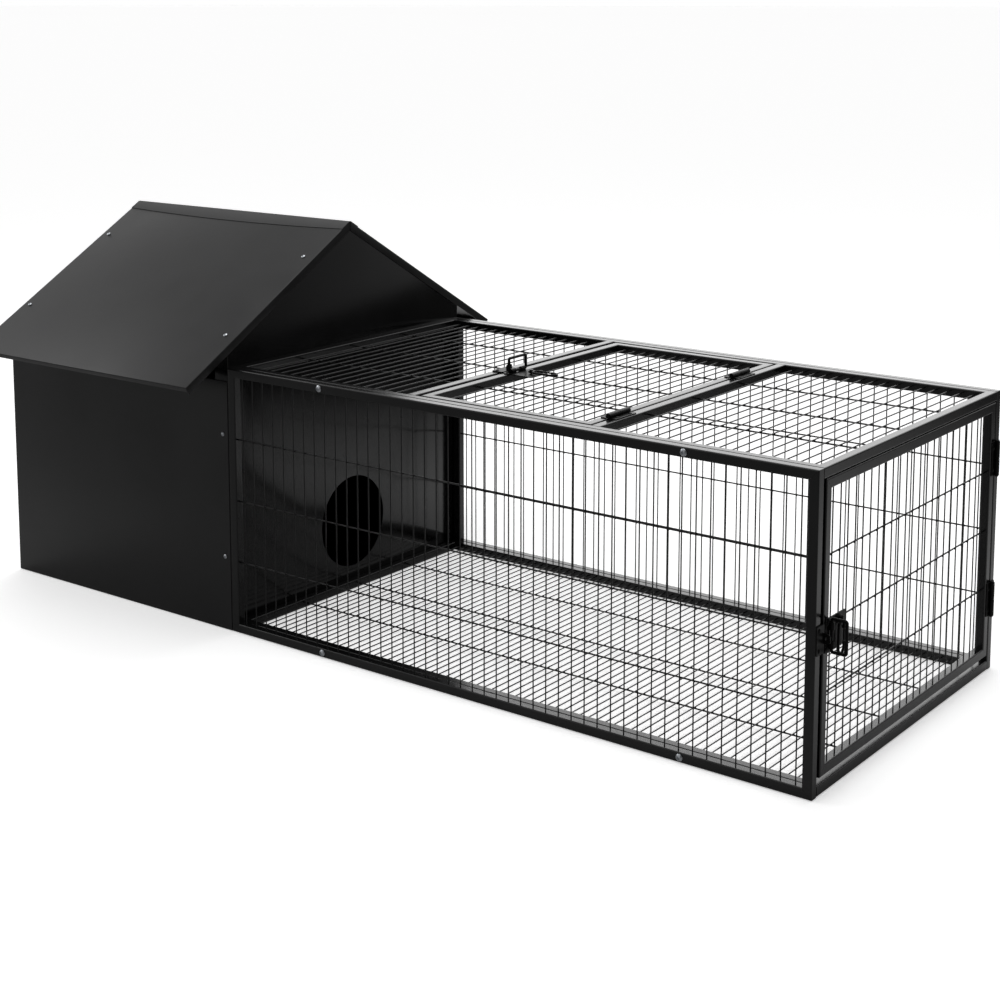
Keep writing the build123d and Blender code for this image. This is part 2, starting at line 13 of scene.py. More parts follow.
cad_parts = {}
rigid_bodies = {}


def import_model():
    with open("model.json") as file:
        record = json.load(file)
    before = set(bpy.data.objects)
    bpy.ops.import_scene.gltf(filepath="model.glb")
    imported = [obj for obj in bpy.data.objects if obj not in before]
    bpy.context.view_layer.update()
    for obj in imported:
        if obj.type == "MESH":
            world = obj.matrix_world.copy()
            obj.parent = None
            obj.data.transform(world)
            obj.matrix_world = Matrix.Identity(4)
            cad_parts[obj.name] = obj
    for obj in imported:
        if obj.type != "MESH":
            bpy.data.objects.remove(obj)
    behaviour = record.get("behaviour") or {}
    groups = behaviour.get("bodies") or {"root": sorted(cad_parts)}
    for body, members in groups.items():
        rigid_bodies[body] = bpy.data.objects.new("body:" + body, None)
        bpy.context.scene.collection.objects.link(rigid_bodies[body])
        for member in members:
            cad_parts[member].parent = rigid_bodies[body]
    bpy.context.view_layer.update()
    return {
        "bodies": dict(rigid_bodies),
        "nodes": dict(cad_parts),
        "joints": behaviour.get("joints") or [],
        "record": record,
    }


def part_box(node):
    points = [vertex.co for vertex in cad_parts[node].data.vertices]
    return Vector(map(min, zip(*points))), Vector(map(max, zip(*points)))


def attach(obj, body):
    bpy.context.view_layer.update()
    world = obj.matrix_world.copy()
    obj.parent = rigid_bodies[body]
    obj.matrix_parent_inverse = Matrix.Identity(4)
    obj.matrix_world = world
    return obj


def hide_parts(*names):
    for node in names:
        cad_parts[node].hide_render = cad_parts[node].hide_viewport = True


LOG = logging.getLogger("rabbit_cage")
MM = 0.001
SHEET = 1.0 * MM
BEND_RADIUS = 1.6 * MM
ROOF_RISE = 231.7 * MM
ROOF_RUN = 399.0 * MM
ROOF_PITCH = math.atan(ROOF_RISE / ROOF_RUN)
# head radius, head height, shank radius and shank length
CLAMP_SCREW = (5.5 * MM, 3.4 * MM, 3.0 * MM, 21.0 * MM)
SHEET_SCREW = (3.6 * MM, 2.2 * MM, 1.6 * MM, 9.0 * MM)


class Side(Enum):
    """The two long sides of the cage."""

    FRONT = -1
    BACK = 1


class Run(Enum):
    """Which world axis the close wires of a mesh panel run along, and which one the stiffening wires do."""

    UPRIGHT_ON_SIDE = (2, 0)
    UPRIGHT_ON_END = (2, 1)
    ACROSS_DECK = (1, 0)


def linear(hex_colour: str) -> tuple[float, float, float, float]:
    """Turns an sRGB hex colour into linear RGBA.

    Args:
        hex_colour: colour such as "#1a1b1c".

    Returns:
        Linear red, green, blue and an alpha of 1.
    """
    channels = [int(hex_colour[i : i + 2], 16) / 255 for i in (1, 3, 5)]
    curve = [c / 12.92 if c <= 0.04045 else ((c + 0.055) / 1.055) ** 2.4 for c in channels]
    return (curve[0], curve[1], curve[2], 1.0)


def add_node(
    tree: bpy.types.NodeTree,
    kind: str,
    settings: Optional[dict] = None,
    links: Optional[dict] = None,
) -> bpy.types.Node:
    """Adds one shader node.

    Args:
        tree: the node tree that gets it.
        kind: the node's type name.
        settings: attribute or input-socket values by name.
        links: input socket name to the output socket that feeds it.

    Returns:
        The new node.
    """
    node = tree.nodes.new(kind)
    for key, value in (settings or {}).items():
        if isinstance(key, int) or key in node.inputs:
            node.inputs[key].default_value = value
        else:
            setattr(node, key, value)
    for key, output in (links or {}).items():
        tree.links.new(output, node.inputs[key])
    return node


def fresh_material(name: str) -> tuple[bpy.types.Material, bpy.types.NodeTree]:
    """Makes an empty node material.

    Args:
        name: the material's name.

    Returns:
        The material and its cleared node tree.
    """
    material = bpy.data.materials.new(name)
    material.use_nodes = True
    material.node_tree.nodes.clear()
    return material, material.node_tree


@dataclass(frozen=True)
class PowderCoat:
    """Black polyester powder coat, baked on.

    It gives the eye a deep black under a clear soft shine, broken by a fine orange peel, with a faint
    cloudiness where the coat runs thicker and, on broad sheet, slow waves that bend its reflections.
    """

    name: str
    dark: str
    light: str
    roughness: float
    shine: float
    peel_mm: float = 2.2
    peel_depth_mm: float = 0.02
    wave_mm: float = 160.0
    wave_depth_mm: float = 0.0
    cloud_mm: float = 90.0
    speck_mm: float = 1.4
    speck_share: float = 0.3
    dark_until: float = 0.45
    light_from: float = 0.85
    smoothest: float = 0.9
    roughest: float = 1.12

    def material(self) -> bpy.types.Material:
        """Builds the coat's material and returns it."""
        material, tree = fresh_material(self.name)
        place = add_node(tree, "ShaderNodeTexCoord").outputs["Object"]
        cloud = add_node(
            tree,
            "ShaderNodeTexNoise",
            {"Scale": 1 / (self.cloud_mm * MM), "Detail": 3.0, "Roughness": 0.55},
            {"Vector": place},
        ).outputs["Fac"]
        speck = add_node(
            tree,
            "ShaderNodeTexNoise",
            {"Scale": 1 / (self.speck_mm * MM), "Detail": 2.0, "Roughness": 0.6},
            {"Vector": place},
        ).outputs["Fac"]
        blend = add_node(
            tree,
            "ShaderNodeMath",
            {"operation": "MULTIPLY_ADD", 1: self.speck_share},
            {0: speck, 2: cloud},
        ).outputs[0]
        colour = add_node(tree, "ShaderNodeValToRGB", links={"Fac": blend})
        colour.color_ramp.elements[0].position = self.dark_until
        colour.color_ramp.elements[0].color = linear(self.dark)
        colour.color_ramp.elements[1].position = self.light_from
        colour.color_ramp.elements[1].color = linear(self.light)
        rough = add_node(
            tree,
            "ShaderNodeMapRange",
            {
                "From Min": 0.3,
                "From Max": 0.7,
                "To Min": self.roughness * self.smoothest,
                "To Max": self.roughness * self.roughest,
            },
            {"Value": cloud},
        ).outputs["Result"]
        peel = add_node(
            tree,
            "ShaderNodeTexNoise",
            {"Scale": 1 / (self.peel_mm * MM), "Detail": 1.0},
            {"Vector": place},
        ).outputs["Fac"]
        normal = add_node(
            tree,
            "ShaderNodeBump",
            {"Strength": 1.0, "Distance": self.peel_depth_mm * MM},
            {"Height": peel},
        ).outputs["Normal"]
        if self.wave_depth_mm:
            wave = add_node(
                tree,
                "ShaderNodeTexNoise",
                {"Scale": 1 / (self.wave_mm * MM), "Detail": 0.0},
                {"Vector": place},
            ).outputs["Fac"]
            normal = add_node(
                tree,
                "ShaderNodeBump",
                {"Strength": 1.0, "Distance": self.wave_depth_mm * MM},
                {"Height": wave, "Normal": normal},
            ).outputs["Normal"]
        shader = add_node(
            tree,
            "ShaderNodeBsdfPrincipled",
            {"Metallic": 0.0, "IOR": 1.5, "Specular IOR Level": self.shine},
            {"Base Color": colour.outputs["Color"], "Roughness": rough, "Normal": normal},
        )
        add_node(tree, "ShaderNodeOutputMaterial", links={"Surface": shader.outputs["BSDF"]})
        return material


@dataclass(frozen=True)
class ZincPlate:
    """Bright zinc plate on cold-headed steel screws.

    It gives the eye a cool silver with a soft sheen, slightly clouded, with fine drawing marks.
    """

    name: str = "bright_zinc_plated_steel"
    light: str = "#d2d5d9"
    dull: str = "#a2a6ab"
    roughness: float = 0.26
    cloud_mm: float = 3.0
    mark_mm: float = 0.5
    mark_strength: float = 0.4
    mark_depth_mm: float = 0.02
    smoothest: float = 0.8
    roughest: float = 1.4

    def material(self) -> bpy.types.Material:
        """Builds the plated steel's material and returns it."""
        material, tree = fresh_material(self.name)
        place = add_node(tree, "ShaderNodeTexCoord").outputs["Object"]
        cloud = add_node(
            tree,
            "ShaderNodeTexNoise",
            {"Scale": 1 / (self.cloud_mm * MM), "Detail": 4.0},
            {"Vector": place},
        ).outputs["Fac"]
        colour = add_node(tree, "ShaderNodeValToRGB", links={"Fac": cloud})
        colour.color_ramp.elements[0].position = 0.3
        colour.color_ramp.elements[0].color = linear(self.dull)
        colour.color_ramp.elements[1].position = 0.7
        colour.color_ramp.elements[1].color = linear(self.light)
        marks = add_node(
            tree,
            "ShaderNodeTexNoise",
            {"Scale": 1 / (self.mark_mm * MM), "Detail": 2.0},
            {"Vector": place},
        ).outputs["Fac"]
        rough = add_node(
            tree,
            "ShaderNodeMapRange",
            {"To Min": self.roughness * self.smoothest, "To Max": self.roughness * self.roughest},
            {"Value": marks},
        ).outputs["Result"]
        normal = add_node(
            tree,
            "ShaderNodeBump",
            {"Strength": self.mark_strength, "Distance": self.mark_depth_mm * MM},
            {"Height": marks},
        ).outputs["Normal"]
        shader = add_node(
            tree,
            "ShaderNodeBsdfPrincipled",
            {"Metallic": 1.0},
            {"Base Color": colour.outputs["Color"], "Roughness": rough, "Normal": normal},
        )
        add_node(tree, "ShaderNodeOutputMaterial", links={"Surface": shader.outputs["BSDF"]})
        return material


@dataclass
class Finishes:
    """The cage's finishes, each built once and kept by the record's slot name."""

    coats: tuple = (
        (
            "black_coated_tube",
            PowderCoat("gloss_black_powder_coat_on_tube", "#050505", "#0c0c0d", 0.2, 0.5),
        ),
        (
            "black_coated_wire",
            PowderCoat("black_dip_coat_on_mesh_wire", "#050505", "#0c0c0d", 0.28, 0.45, peel_mm=1.2),
        ),
        (
            "black_coated_sheet",
            PowderCoat(
                "semi_gloss_black_powder_coat_on_sheet",
                "#0b0b0c",
                "#111112",
                0.34,
                0.5,
                wave_depth_mm=1.2,
            ),
        ),
        (
            "black_coated_hardware",
            PowderCoat(
                "black_electrocoat_on_pressed_steel", "#050505", "#0d0d0d", 0.38, 0.14, peel_mm=1.0
            ),
        ),
        ("zinc_plated_steel", ZincPlate()),
        # A darker, glossier copy of the sheet coat for the inner gable wall. Its darker colours are painted
        # shade; its lower roughness sharpens what it mirrors.
        (
            "gable_painted_shade",
            PowderCoat(
                "gloss_sheet_coat_darkened_for_painted_shade_on_gable", "#060606", "#0b0b0c", 0.13, 0.5, wave_depth_mm=0.6
            ),
        ),
    )
    by_slot: dict = field(default_factory=dict)

    def build(self) -> None:
        """Builds every finish."""
        for slot, finish in self.coats:
            self.by_slot[slot] = finish.material()
            LOG.info("finish %s for slot %s", finish.name, slot)

    def dress_nodes(self, frame: dict) -> None:
        """Gives every CAD node the finish of its slot.
        """
        slots = {part["node"]: part["material_slot"] for part in frame["record"]["subparts"]}
        for name, node in frame["nodes"].items():
            material = self.by_slot[slots[name]]
            if not node.material_slots:
                node.data.materials.append(material)
            for index in range(len(node.material_slots)):
                node.material_slots[index].material = material


# --- modelling by hand: selection, transforms and finishing ---------------------------------------
def deselect_all() -> None:
    """Leaves edit mode and deselects every object."""
    if bpy.context.object and bpy.context.object.mode != "OBJECT":
        bpy.ops.object.mode_set(mode="OBJECT")
    bpy.ops.object.select_all(action="DESELECT")


def only(obj: bpy.types.Object) -> None:
    """Makes obj the one selected and active object."""
    deselect_all()
    obj.select_set(True)
    bpy.context.view_layer.objects.active = obj


def edit_edges(obj: bpy.types.Object, wanted: Callable[[Vector, Vector], bool]) -> int:
    """Enters edit mode with only the wanted edges selected.

    Args:
        obj: the mesh object.
        wanted: says from an edge's two ends whether it is taken.

    Returns:
        How many edges were taken.
    """
    only(obj)
    bpy.ops.object.mode_set(mode="EDIT")
    bpy.ops.mesh.select_mode(type="EDGE")
    bpy.ops.mesh.select_all(action="DESELECT")
    bpy.ops.object.mode_set(mode="OBJECT")
    count = 0
    for edge in obj.data.edges:
        a, b = (obj.data.vertices[i].co for i in edge.vertices)
        edge.select = wanted(a, b)
        count += edge.select
    bpy.ops.object.mode_set(mode="EDIT")
    return count


def edit_faces(obj: bpy.types.Object, wanted: Callable[[Vector, Vector], bool]) -> int:
    """Enters edit mode with only the wanted faces selected.

    Args:
        obj: the mesh object.
        wanted: says from a face's centre and normal whether it is taken.

    Returns:
        How many faces were taken.
    """
    only(obj)
    bpy.ops.object.mode_set(mode="EDIT")
    bpy.ops.mesh.select_mode(type="FACE")
    bpy.ops.mesh.select_all(action="DESELECT")
    bpy.ops.object.mode_set(mode="OBJECT")
    count = 0
    for face in obj.data.polygons:
        face.select = wanted(face.center, face.normal)
        count += face.select
    bpy.ops.object.mode_set(mode="EDIT")
    return count


def extrude_edges(
    obj: bpy.types.Object, wanted: Callable[[Vector, Vector], bool], move: Sequence[float]
) -> None:
    """Folds a flange out of the wanted edges.

    Args:
        obj: the mesh object.
        wanted: which edges, from their two ends.
        move: how far the new edges move, in metres.
    """
    edit_edges(obj, wanted)
    bpy.ops.mesh.extrude_edges_move(TRANSFORM_OT_translate={"value": tuple(move)})
    bpy.ops.object.mode_set(mode="OBJECT")


def apply_modifier(obj: bpy.types.Object, kind: str, **settings: object) -> None:
    """Adds one modifier with its settings and applies it.

    Args:
        obj: the mesh object.
        kind: the modifier's type name.
        **settings: its attributes.
    """
    only(obj)
    modifier = obj.modifiers.new(kind.lower(), kind)
    for key, value in settings.items():
        setattr(modifier, key, value)
    bpy.ops.object.modifier_apply(modifier=modifier.name)


def put(obj: bpy.types.Object, matrix: Matrix) -> None:
    """Moves obj's mesh to its place and leaves the object at the origin.

    Args:
        obj: the mesh object.
        matrix: where the mesh goes.
    """
    obj.matrix_world = matrix @ obj.matrix_world
    only(obj)
    bpy.ops.object.transform_apply(location=True, rotation=True, scale=True)


def face_outward(obj: bpy.types.Object) -> None:
    """Merges doubles and makes every face of a closed mesh point outwards."""
    only(obj)
    bpy.ops.object.mode_set(mode="EDIT")
    bpy.ops.mesh.select_all(action="SELECT")
    bpy.ops.mesh.remove_doubles(threshold=1e-6)
    bpy.ops.mesh.normals_make_consistent(inside=False)
    bpy.ops.object.mode_set(mode="OBJECT")


def smooth(obj: bpy.types.Object, angle: float = 40.0) -> None:
    """Shades obj smooth below an angle in degrees."""
    only(obj)
    bpy.ops.object.shade_smooth_by_angle(angle=math.radians(angle))


def join(pieces: list[bpy.types.Object], name: str) -> bpy.types.Object:
    """Joins copies into one piece.

    Args:
        pieces: the objects to join.
        name: the joined piece's name.

    Returns:
        The joined object.
    """
    deselect_all()
    for piece in pieces:
        piece.select_set(True)
    bpy.context.view_layer.objects.active = pieces[0]
    bpy.ops.object.join()
    pieces[0].name = name
    pieces[0].data.name = name
    return pieces[0]


def copies(template: bpy.types.Object, places: Iterable[Matrix], name: str) -> bpy.types.Object:
    """Copies a modelled shape to many places as one piece, and removes the template.

    Args:
        template: the shape, at the origin.
        places: where each copy goes.
        name: the finished piece's name.

    Returns:
        The finished piece.
    """
    made = []
    for index, place in enumerate(places):
        copy = bpy.data.objects.new(f"{name}_{index}", template.data.copy())
        copy.data.transform(place)
        bpy.context.scene.collection.objects.link(copy)
        made.append(copy)
    bpy.data.objects.remove(template)
    return join(made, name)


def finish_piece(
    obj: bpy.types.Object,
    finishes: Finishes,
    slot: str,
    body: str,
    stands_for: Sequence[str] = (),
    finish: Optional[str] = None,
) -> bpy.types.Object:
    """Dresses a piece and ties it to its CAD body.

    Args:
        obj: the finished mesh.
        finishes: the cage's finishes.
        slot: the record's material slot.
        body: the CAD body it rides on.
        stands_for: CAD nodes it stands for.
        finish: the finish's key where it isn't the slot's own.

    Returns:
        The same object.
    """
    obj.data.materials.clear()
    obj.data.materials.append(finishes.by_slot[finish or slot])
    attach(obj, body)
    if stands_for:
        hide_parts(*stands_for)
    LOG.info("piece %s: %d faces, rides on %s", obj.name, len(obj.data.polygons), body)
    return obj


def box_of(node: str) -> tuple[Vector, Vector]:
    """Lowest and highest corner of a CAD node as vectors."""
    low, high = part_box(node)
    return Vector(low), Vector(high)


def plane_matrix(origin: Vector, x_axis: Vector, z_axis: Vector) -> Matrix:
    """Matrix that takes local axes to a plane.

    Args:
        origin: the plane's origin.
        x_axis: where local X points.
        z_axis: where local Z points.

    Returns:
        The 4x4 matrix.
    """
    z = z_axis.normalized()
    x = (x_axis - x_axis.dot(z) * z).normalized()
    y = z.cross(x)
    matrix = Matrix((x, y, z)).transposed().to_4x4()
    matrix.translation = origin
    return matrix


def close_to(a: float, b: float, gap: float = 0.2 * MM) -> bool:
    """True if two coordinates are the same within a gap in metres."""
    return abs(a - b) < gap


# --- house ------------------------------------------------------------------------------------------
@dataclass
class FoldedSheet:
    """Shared steps of folded sheet: a flat face gets flanges, bend radii and a thickness."""

    thickness: float = SHEET
    bend: float = BEND_RADIUS

    def flat(self, size_x: float, size_y: float, name: str) -> bpy.types.Object:
        """Adds the flat face with one corner at the origin, in the XY plane.

        Args:
            size_x: its length along X.
            size_y: its width along Y.
            name: the piece's name.

        Returns:
            The new object.
        """
        deselect_all()
        bpy.ops.mesh.primitive_plane_add(size=1.0, location=(size_x / 2, size_y / 2, 0))
        obj = bpy.context.object
        obj.name = name
        obj.data.name = name
        obj.scale = (size_x, size_y, 1)
        bpy.ops.object.transform_apply(location=True, rotation=True, scale=True)
        return obj

    def fold_up(self, obj: bpy.types.Object) -> None:
        """Rounds the bends, then thickens the sheet away from its outer face."""
        apply_modifier(
            obj, "BEVEL", width=self.bend, segments=3, limit_method="ANGLE", angle_limit=math.radians(40)
        )
        apply_modifier(obj, "SOLIDIFY", thickness=self.thickness, offset=-1.0, use_even_offset=True)
        face_outward(obj)
        smooth(obj, 50)


@dataclass
class Roof(FoldedSheet):
    """Two roof sheets with folded gable flanges and eave lips, and the bowed ridge cap."""

    pitch: float = ROOF_PITCH
    lip: float = 9.0 * MM
    flange: float = 14.0 * MM
    ridge_gap: float = 1.0 * MM
    cap_thickness: float = 0.8 * MM
    cap_end: float = 24.0 * MM
    cap_middle: float = 32.0 * MM
    cap_steps: int = 24
    cap_bend: float = 2.2 * MM

    def slope_matrix(self, side: Side) -> Matrix:
        """Matrix of a slope: local X along the ridge, Y up the slope from the eave, Z outwards."""
        low, high = box_of("roof_front_sheet" if side is Side.FRONT else "roof_back_sheet")
        eave_z = low.z + self.flange * math.cos(self.pitch)
        normal = Vector((0, side.value * math.sin(self.pitch), math.cos(self.pitch)))
        if side is Side.FRONT:
            return plane_matrix(Vector((low.x, low.y, eave_z)), Vector((1, 0, 0)), normal)
        return plane_matrix(Vector((high.x, high.y, eave_z)), Vector((-1, 0, 0)), normal)

    def slope_length(self) -> float:
        """Length of a slope from its eave to the ridge line."""
        low, _ = box_of("roof_front_sheet")
        return -low.y / math.cos(self.pitch)

    def build_sheet(self, side: Side, finishes: Finishes) -> None:
        """Builds one roof sheet.

        Args:
            side: which slope.
            finishes: the cage's finishes.
        """
        node = "roof_front_sheet" if side is Side.FRONT else "roof_back_sheet"
        low, high = box_of(node)
        length = high.x - low.x
        width = self.slope_length() - self.ridge_gap
        obj = self.flat(length, width, f"{node}_folded")
        extrude_edges(obj, lambda a, b: close_to(a.y, 0) and close_to(b.y, 0), (0, 0, -self.lip))
        for edge_x in (0.0, length):
            extrude_edges(
                obj,
                lambda a, b, x=edge_x: all(close_to(p.x, x) and close_to(p.z, 0) for p in (a, b)),
                (0, 0, -self.flange),
            )
        top_drop = self.flange * math.tan(self.pitch)
        self.trim_flange_tops(obj, width, top_drop)
        self.fold_up(obj)
        put(obj, self.slope_matrix(side))
        finish_piece(obj, finishes, "black_coated_sheet", "cage", [node])

    def trim_flange_tops(self, obj: bpy.types.Object, width: float, top_drop: float) -> None:
        """Cuts the flange ends to the plumb line of the ridge.

        Args:
            obj: the sheet.
            width: the slope width of its face.
            top_drop: how far the flange's lower corner lies back from the ridge edge.
        """
        only(obj)
        bpy.ops.object.mode_set(mode="EDIT")
        bpy.ops.mesh.select_mode(type="VERT")
        bpy.ops.mesh.select_all(action="DESELECT")
        bpy.ops.object.mode_set(mode="OBJECT")
        for vertex in obj.data.vertices:
            vertex.select = close_to(vertex.co.y, width) and close_to(vertex.co.z, -self.flange)
        bpy.ops.object.mode_set(mode="EDIT")
        bpy.ops.transform.translate(value=(0, -top_drop, 0))
        bpy.ops.object.mode_set(mode="OBJECT")

    def build_cap(self, finishes: Finishes) -> None:
        """Builds the ridge cap: a shallow V strip, wider in the middle than at its ends.

        Args:
            finishes: the cage's finishes.
        """
        low, high = box_of("ridge_cap")
        length = high.x - low.x
        ridge_z = high.z - self.cap_thickness / math.cos(self.pitch)
        deselect_all()
        bpy.ops.mesh.primitive_grid_add(
            x_subdivisions=self.cap_steps, y_subdivisions=2, size=1.0, location=(0, 0, 0)
        )
        obj = bpy.context.object
        obj.name = obj.data.name = "ridge_cap_bowed"
        obj.scale = (length, 2, 1)
        bpy.ops.object.transform_apply(location=False, rotation=False, scale=True)
        for side in Side:
            for step in range(self.cap_steps + 1):
                along = -length / 2 + length * step / self.cap_steps
                bow = 1 - (2 * along / length) ** 2
                width = self.cap_end + (self.cap_middle - self.cap_end) * bow
                self.move_edge_vertex(obj, side, along, width)
        apply_modifier(
            obj, "BEVEL", width=self.cap_bend, segments=4, limit_method="ANGLE", angle_limit=math.radians(20)
        )
        apply_modifier(obj, "SOLIDIFY", thickness=self.cap_thickness, offset=1.0, use_even_offset=True)
        face_outward(obj)
        smooth(obj, 50)
        centre = Vector(((low.x + high.x) / 2, 0, ridge_z))
        put(obj, Matrix.Translation(centre))
        finish_piece(obj, finishes, "black_coated_sheet", "cage", ["ridge_cap"])

    def move_edge_vertex(self, obj: bpy.types.Object, side: Side, along: float, width: float) -> None:
        """Moves one outer corner of the cap's strip down its slope.

        Args:
            obj: the cap.
            side: which slope.
            along: where on the ridge, from the middle.
            width: how far down the slope the cap reaches there.
        """
        only(obj)
        bpy.ops.object.mode_set(mode="EDIT")
        bpy.ops.mesh.select_mode(type="VERT")
        bpy.ops.mesh.select_all(action="DESELECT")
        bpy.ops.object.mode_set(mode="OBJECT")
        for vertex in obj.data.vertices:
            at_step = close_to(vertex.co.x, along, 1 * MM)
            vertex.select = at_step and close_to(vertex.co.y, side.value, 1 * MM)
        bpy.ops.object.mode_set(mode="EDIT")
        reach = side.value * (width * math.cos(self.pitch) - 1)
        bpy.ops.transform.translate(value=(0, reach, -width * math.sin(self.pitch)))
        bpy.ops.object.mode_set(mode="OBJECT")


@dataclass
class House(FoldedSheet):
    """The house's trays and gable pans, folded from sheet."""

    wall_flange: float = 30.0 * MM
    tray_flange: float = 12.0 * MM
    doorway_r: float = 82.5 * MM
    doorway_z: float = 120.0 * MM
    pitch: float = ROOF_PITCH

    def build_tray(self, side: Side, finishes: Finishes) -> None:
        """Builds the front or back panel: a face folded in at its left, top and bottom edges.

        Args:
            side: which long side.
            finishes: the cage's finishes.
        """
        node = "house_front_panel" if side is Side.FRONT else "house_back_panel"
        low, high = box_of(node)
        size = high - low
        obj = self.flat(size.x, size.z, f"{node}_folded")
        inward = (0, 0, -self.tray_flange)
        left = 0.0 if side is Side.FRONT else size.x
        extrude_edges(obj, lambda a, b: close_to(a.x, left) and close_to(b.x, left), inward)
        for level in (0.0, size.z):
            extrude_edges(
                obj,
                lambda a, b, y=level: all(close_to(p.y, y) and close_to(p.z, 0) for p in (a, b)),
                inward,
            )
        self.fold_up(obj)
        if side is Side.FRONT:
            place = plane_matrix(Vector((low.x, low.y, low.z)), Vector((1, 0, 0)), Vector((0, -1, 0)))
        else:
            place = plane_matrix(Vector((high.x, high.y, low.z)), Vector((-1, 0, 0)), Vector((0, 1, 0)))
        put(obj, place)
        finish_piece(obj, finishes, "black_coated_sheet", "cage", [node])

    def build_pan(self, node: str, faces_right: bool, doorway: bool, finishes: Finishes) -> None:
        """Builds a gable-shaped pan, its flange folded inwards all round.

        Args:
            node: the CAD node it stands for.
            faces_right: True where the face looks along +X.
            doorway: True where the round doorway is cut.
            finishes: the cage's finishes.
        """
        low, high = box_of(node)
        size = high - low
        obj = self.flat(size.y, size.z, f"{node}_folded")
        peak = Vector((size.y / 2, size.z, 0))
        for way in (-1, 1):
            only(obj)
            bpy.ops.object.mode_set(mode="EDIT")
            bpy.ops.mesh.select_all(action="SELECT")
            normal = (way * math.sin(self.pitch), math.cos(self.pitch), 0)
            bpy.ops.mesh.bisect(plane_co=peak, plane_no=normal, clear_outer=True)
            bpy.ops.object.mode_set(mode="OBJECT")
        extrude_edges(obj, lambda a, b: True, (0, 0, -self.wall_flange))
        self.fold_up(obj)
        if doorway:
            self.cut_doorway(obj, size.y / 2, self.doorway_z - low.z)
        if faces_right:
            place = plane_matrix(Vector((high.x, low.y, low.z)), Vector((0, 1, 0)), Vector((1, 0, 0)))
        else:
            place = plane_matrix(Vector((low.x, high.y, low.z)), Vector((0, -1, 0)), Vector((-1, 0, 0)))
        put(obj, place)
        # The inner gable wall takes the darker copy of the sheet coat, which is painted shade.
        finish_piece(
            obj, finishes, "black_coated_sheet", "cage", [node], "gable_painted_shade" if faces_right else None
        )

    def cut_doorway(self, obj: bpy.types.Object, across: float, up: float) -> None:
        """Cuts the round doorway.

        Args:
            obj: the pan, face up in its own axes.
            across: the doorway's centre across the pan.
            up: its height on the pan.
        """
        deselect_all()
        bpy.ops.mesh.primitive_cylinder_add(
            vertices=96, radius=self.doorway_r, depth=10 * MM, location=(across, up, 0)
        )
        cutter = bpy.context.object
        apply_modifier(obj, "BOOLEAN", operation="DIFFERENCE", object=cutter, solver="EXACT")
        bpy.data.objects.remove(cutter)
        smooth(obj, 50)


# --- screws -------------------------------------------------------------------------------------------
def clusters(node: bpy.types.Object, reach: float) -> list[tuple[Vector, Vector]]:
    """Boxes of a node's separate solids.

    Args:
        node: a CAD node made of small solids that stand apart.
        reach: how far a point may lie from a solid's first point.

    Returns:
        Lowest and highest corner of each solid.
    """
    groups: list[tuple[Vector, Vector, Vector]] = []
    for vertex in node.data.vertices:
        for seed, low, high in groups:
            if (vertex.co - seed).length < reach:
                for axis in range(3):
                    low[axis] = min(low[axis], vertex.co[axis])
                    high[axis] = max(high[axis], vertex.co[axis])
                break
        else:
            groups.append((vertex.co.copy(), vertex.co.copy(), vertex.co.copy()))
    return [(low, high) for _, low, high in groups]


